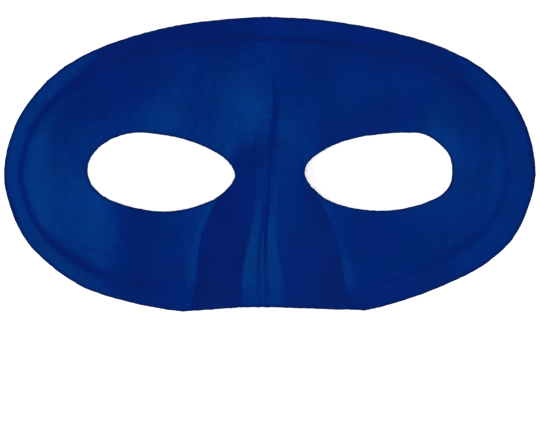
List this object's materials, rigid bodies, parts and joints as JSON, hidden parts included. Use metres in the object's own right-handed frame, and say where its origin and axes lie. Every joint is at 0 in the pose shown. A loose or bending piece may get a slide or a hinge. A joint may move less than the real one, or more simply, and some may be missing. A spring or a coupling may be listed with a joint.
{
  "type": "party eye mask",
  "caption": "Moulded half face mask in blue satin cloth, with almond eye holes, a raised nose with folds and creases, and a stepped flat border.",
  "frame": {"origin": "under the middle of the mask's outline, on the surface that it rests on", "axes": "+Z out of the face, so the mask lies face up; +X to the right as seen from the front; +Y up the face, towards the forehead"},
  "size_m": [0.185, 0.1024, 0.0319],
  "materials": {
    "satin": "satin cloth stiffened and moulded to shape, dark royal blue with a soft sheen"
  },
  "bodies": {
    "root": {"moulded_mask": "satin"}
  },
  "joints": []
}
